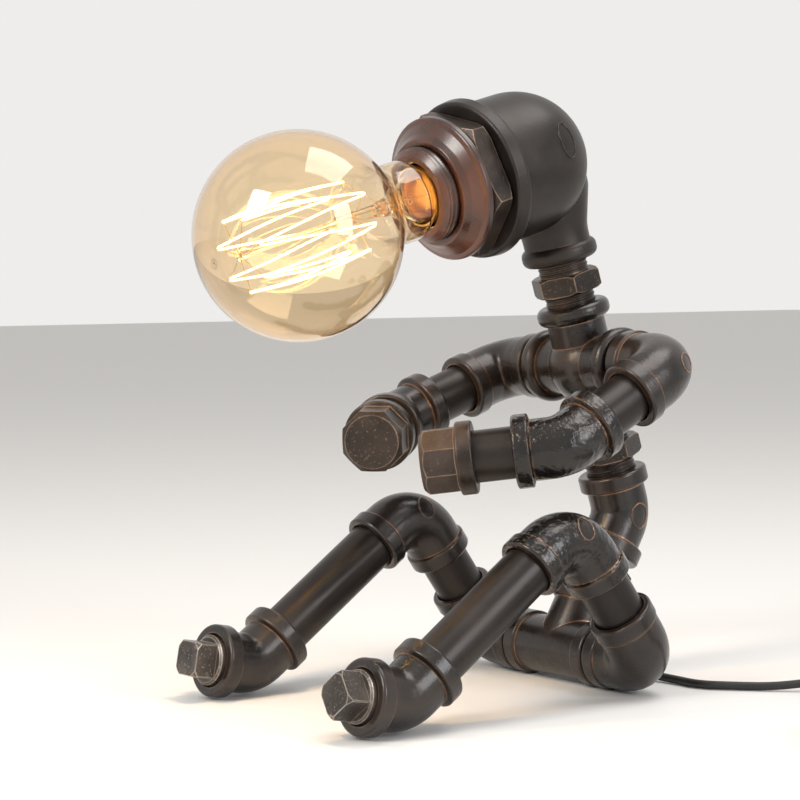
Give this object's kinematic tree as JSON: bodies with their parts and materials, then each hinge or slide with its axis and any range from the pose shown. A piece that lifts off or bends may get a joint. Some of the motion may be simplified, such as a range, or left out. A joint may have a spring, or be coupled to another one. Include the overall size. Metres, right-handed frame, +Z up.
{
  "type": "desk lamp",
  "caption": "Robot shaped desk lamp: a sitting figure of dark screwed pipe fittings with a big amber filament globe for a head, in-line rocker switch and plug.",
  "frame": {"origin": "middle of the bottom of the lamp's box, without the lead on the table", "axes": "+Z up, the figure faces -Y, +X is the figure's left"},
  "size_m": [0.2754, 0.2984, 0.2525],
  "materials": {
    "cast": "semi-gloss dark brown with rubbed bronze edges",
    "worn_cast": "satin dark iron with worn light edges",
    "pipe": "satin dark",
    "bakelite": "gloss",
    "ceramic": "glazed",
    "brass": "polished",
    "amber_glass": "clear amber",
    "clear_glass": "clear",
    "wire": "bare wire",
    "lead": "satin",
    "black_plastic": "satin"
  },
  "bodies": {
    "stand": {"hip_tee": "cast", "left_hip_elbow": "cast", "left_hip_nipple": "pipe", "left_thigh_nipple": "pipe", "left_knee_elbow": "cast", "left_shin_pipe": "pipe", "left_ankle_elbow": "cast", "left_toe_plug": "worn_cast", "left_shoulder_nipple": "pipe", "right_hip_elbow": "cast", "right_hip_nipple": "pipe", "right_thigh_nipple": "pipe", "right_knee_elbow": "cast", "right_shin_pipe": "pipe", "right_ankle_elbow": "cast", "right_toe_plug": "worn_cast", "right_shoulder_nipple": "pipe", "spine_hex_nipple": "worn_cast", "spine_elbow": "cast", "waist_hex_nipple": "worn_cast", "torso_cross": "cast", "neck_hex_nipple": "worn_cast", "inner_lead": "lead", "cord_gland": "lead", "cord_free": "lead", "cord_link": "lead", "cord_coil": "lead", "cord_tail": "lead", "switch_base": "black_plastic", "switch_cover": "black_plastic", "plug_body": "black_plastic", "plug_pins": "brass"},
    "head": {"head_elbow": "cast", "head_bush": "worn_cast", "shade_ring": "bakelite", "holder_shell": "bakelite", "holder_cap": "bakelite", "holder_insert": "ceramic", "screw_shell": "brass", "holder_contact": "brass", "head_lead": "lead"},
    "bulb": {"bulb_globe": "amber_glass", "bulb_cap": "brass", "bulb_insulator": "ceramic", "bulb_contact": "brass", "bulb_stem": "clear_glass", "bulb_filament": "wire", "bulb_supports": "wire"},
    "rocker": {"switch_rocker": "black_plastic"},
    "left_upper_arm": {"left_shoulder_elbow": "cast", "left_upper_arm_nipple": "pipe"},
    "left_forearm": {"left_forearm_elbow": "cast", "left_forearm_nipple": "pipe", "left_hand_cap": "worn_cast"},
    "right_upper_arm": {"right_shoulder_elbow": "cast", "right_upper_arm_nipple": "pipe"},
    "right_forearm": {"right_forearm_elbow": "cast", "right_forearm_nipple": "pipe", "right_hand_cap": "worn_cast"}
  },
  "joints": [
    {"name": "neck_turn", "type": "hinge", "parent": "stand", "child": "head", "pos_m": [-0.00657, 0.05777, 0.22502], "axis": [-0.0384, -0.2612, 0.9645], "range_deg": [-30, 30]},
    {"name": "left_shoulder_swing", "type": "hinge", "parent": "stand", "child": "left_upper_arm", "pos_m": [-0.003, 0.08201, 0.13551], "axis": [0.9993, -0.01, 0.0371], "range_deg": [-15, 4]},
    {"name": "right_shoulder_swing", "type": "hinge", "parent": "stand", "child": "right_upper_arm", "pos_m": [-0.003, 0.08201, 0.13551], "axis": [0.9993, -0.01, 0.0371], "range_deg": [-15, 6]},
    {"name": "left_forearm_turn", "type": "hinge", "parent": "left_upper_arm", "child": "left_forearm", "pos_m": [0.05484, 0.02293, 0.10603], "axis": [0.0088, -0.8798, -0.4753], "range_deg": [-35, 12]},
    {"name": "right_forearm_turn", "type": "hinge", "parent": "right_upper_arm", "child": "right_forearm", "pos_m": [-0.06005, 0.02005, 0.11076], "axis": [0.0032, -0.9403, -0.3403], "range_deg": [-12, 35]},
    {"name": "bulb_unscrew", "type": "slide", "parent": "head", "child": "bulb", "axis": [0.0627, -0.964, -0.2585], "range_m": [0, 0.03]},
    {"name": "switch_rock", "type": "hinge", "parent": "stand", "child": "rocker", "pos_m": [0.11481, 0.15564, 0.0097], "axis": [-0.6919, 0.722, 0], "range_deg": [-18, 0]}
  ]
}
